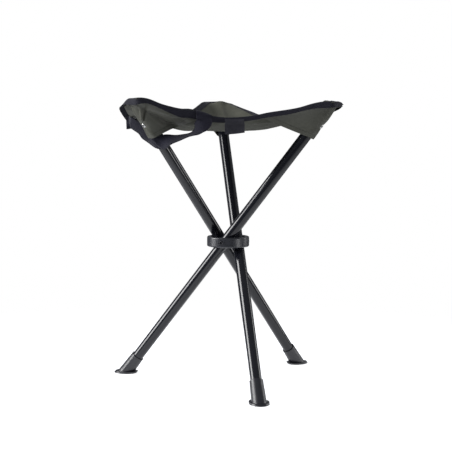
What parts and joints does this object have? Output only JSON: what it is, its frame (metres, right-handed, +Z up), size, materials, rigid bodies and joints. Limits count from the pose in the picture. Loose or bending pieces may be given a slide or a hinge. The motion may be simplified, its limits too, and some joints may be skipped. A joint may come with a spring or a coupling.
{
  "type": "tripod stool",
  "caption": "Folding tripod stool: crossed tube legs pivoted in a hub ring, with a slung triangular cloth seat, edge binding, carry strap and rubber feet.",
  "frame": {"origin": "on the floor, under the middle of the hub ring", "axes": "+Z up, -Y towards the viewer of the picture, +X to that viewer's right"},
  "size_m": [0.3953, 0.4032, 0.4845],
  "materials": {
    "hub_plastic": "satin moulded",
    "seat_cloth": "coated weave",
    "binding": "woven tape",
    "webbing": "ribbed webbing",
    "label": "plain woven",
    "pivot_rivet": "dark satin",
    "washer_plastic": "matte",
    "tube_paint": "gloss",
    "plug_plastic": "matte",
    "foot_rubber": "satin",
    "corner_rivet": "bright"
  },
  "bodies": {
    "hub": {"hub_ring": "hub_plastic", "seat_panel": "seat_cloth", "edge_binding": "binding", "carry_strap": "webbing", "label_tab": "label", "pivot_rivet_1": "pivot_rivet", "pivot_washer_1": "washer_plastic", "pivot_rivet_2": "pivot_rivet", "pivot_washer_2": "washer_plastic", "pivot_rivet_3": "pivot_rivet", "pivot_washer_3": "washer_plastic"},
    "leg_1": {"leg_tube_1": "tube_paint", "top_plug_1": "plug_plastic", "rubber_foot_1": "foot_rubber", "corner_rivet_1": "corner_rivet", "corner_pocket_1": "seat_cloth"},
    "leg_2": {"leg_tube_2": "tube_paint", "top_plug_2": "plug_plastic", "rubber_foot_2": "foot_rubber", "corner_rivet_2": "corner_rivet", "corner_pocket_2": "seat_cloth"},
    "leg_3": {"leg_tube_3": "tube_paint", "top_plug_3": "plug_plastic", "rubber_foot_3": "foot_rubber", "corner_rivet_3": "corner_rivet", "corner_pocket_3": "seat_cloth"}
  },
  "joints": [
    {"name": "leg_1_fold", "type": "hinge", "parent": "hub", "child": "leg_1", "pos_m": [-0.00561, -0.01597, 0.2416], "axis": [-0.3312, -0.9436, 0], "range_deg": [0, 36], "deforming": ["seat_panel", "edge_binding", "carry_strap", "label_tab", "corner_pocket_1"]},
    {"name": "leg_2_fold", "type": "hinge", "parent": "hub", "child": "leg_2", "pos_m": [0.01664, 0.00313, 0.2416], "axis": [0.9827, 0.185, 0], "range_deg": [0, 36], "deforming": ["corner_pocket_2"]},
    {"name": "leg_3_fold", "type": "hinge", "parent": "hub", "child": "leg_3", "pos_m": [-0.01103, 0.01284, 0.2416], "axis": [-0.6516, 0.7586, 0], "range_deg": [0, 36], "deforming": ["corner_pocket_3"]}
  ],
  "couplings": [
    {"joint": "leg_2_fold", "follows": "leg_1_fold", "ratio": 1},
    {"joint": "leg_3_fold", "follows": "leg_1_fold", "ratio": 1}
  ]
}
